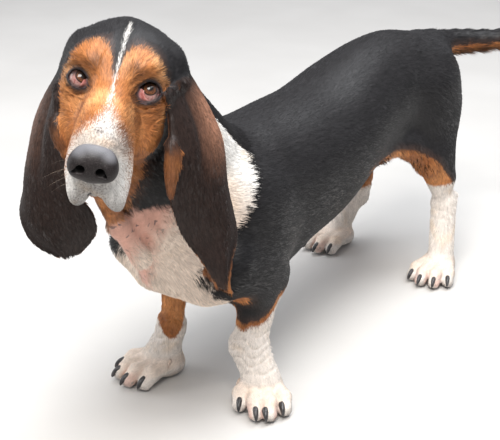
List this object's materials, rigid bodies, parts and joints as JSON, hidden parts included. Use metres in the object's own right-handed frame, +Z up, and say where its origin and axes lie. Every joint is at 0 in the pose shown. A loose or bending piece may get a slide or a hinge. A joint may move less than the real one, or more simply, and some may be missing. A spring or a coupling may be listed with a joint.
{
  "type": "basset hound",
  "caption": "Life-size standing basset hound with a long low body, hanging ears, drooping lips, short crooked forelegs and a raised tail.",
  "frame": {"origin": "on the floor, below the middle of the bounding box", "axes": "-Y is the way the body faces, +X is the hound's left side, +Z is up"},
  "size_m": [0.3284, 1.0756, 0.5411],
  "materials": {
    "black_coat": "short, flat, shining coat",
    "tan_coat": "short, flat coat",
    "white_coat": "short, flat coat",
    "ear_coat": "fine, short, silky coat",
    "nose_leather": "pebbled, moist",
    "eyes": "wet and clear",
    "claws": "worn horn"
  },
  "bodies": {
    "root": {"ear_left": "ear_coat", "ear_right": "ear_coat", "eye_left": "eyes", "eye_right": "eyes", "fore_claw_left_1": "claws", "fore_claw_left_2": "claws", "fore_claw_left_3": "claws", "fore_claw_left_4": "claws", "fore_claw_left_5": "claws", "fore_claw_right_1": "claws", "fore_claw_right_2": "claws", "fore_claw_right_3": "claws", "fore_claw_right_4": "claws", "fore_claw_right_5": "claws", "fore_leg_left": "white_coat", "fore_leg_right": "tan_coat", "fore_paw_left": "white_coat", "fore_paw_right": "white_coat", "head": "tan_coat", "hind_claw_left_1": "claws", "hind_claw_left_2": "claws", "hind_claw_left_3": "claws", "hind_claw_left_4": "claws", "hind_claw_right_1": "claws", "hind_claw_right_2": "claws", "hind_claw_right_3": "claws", "hind_claw_right_4": "claws", "hind_leg_left": "black_coat", "hind_leg_right": "black_coat", "hind_paw_left": "white_coat", "hind_paw_right": "white_coat", "jaw": "white_coat", "neck": "black_coat", "nose": "nose_leather", "tail": "black_coat", "torso": "black_coat"}
  },
  "joints": []
}
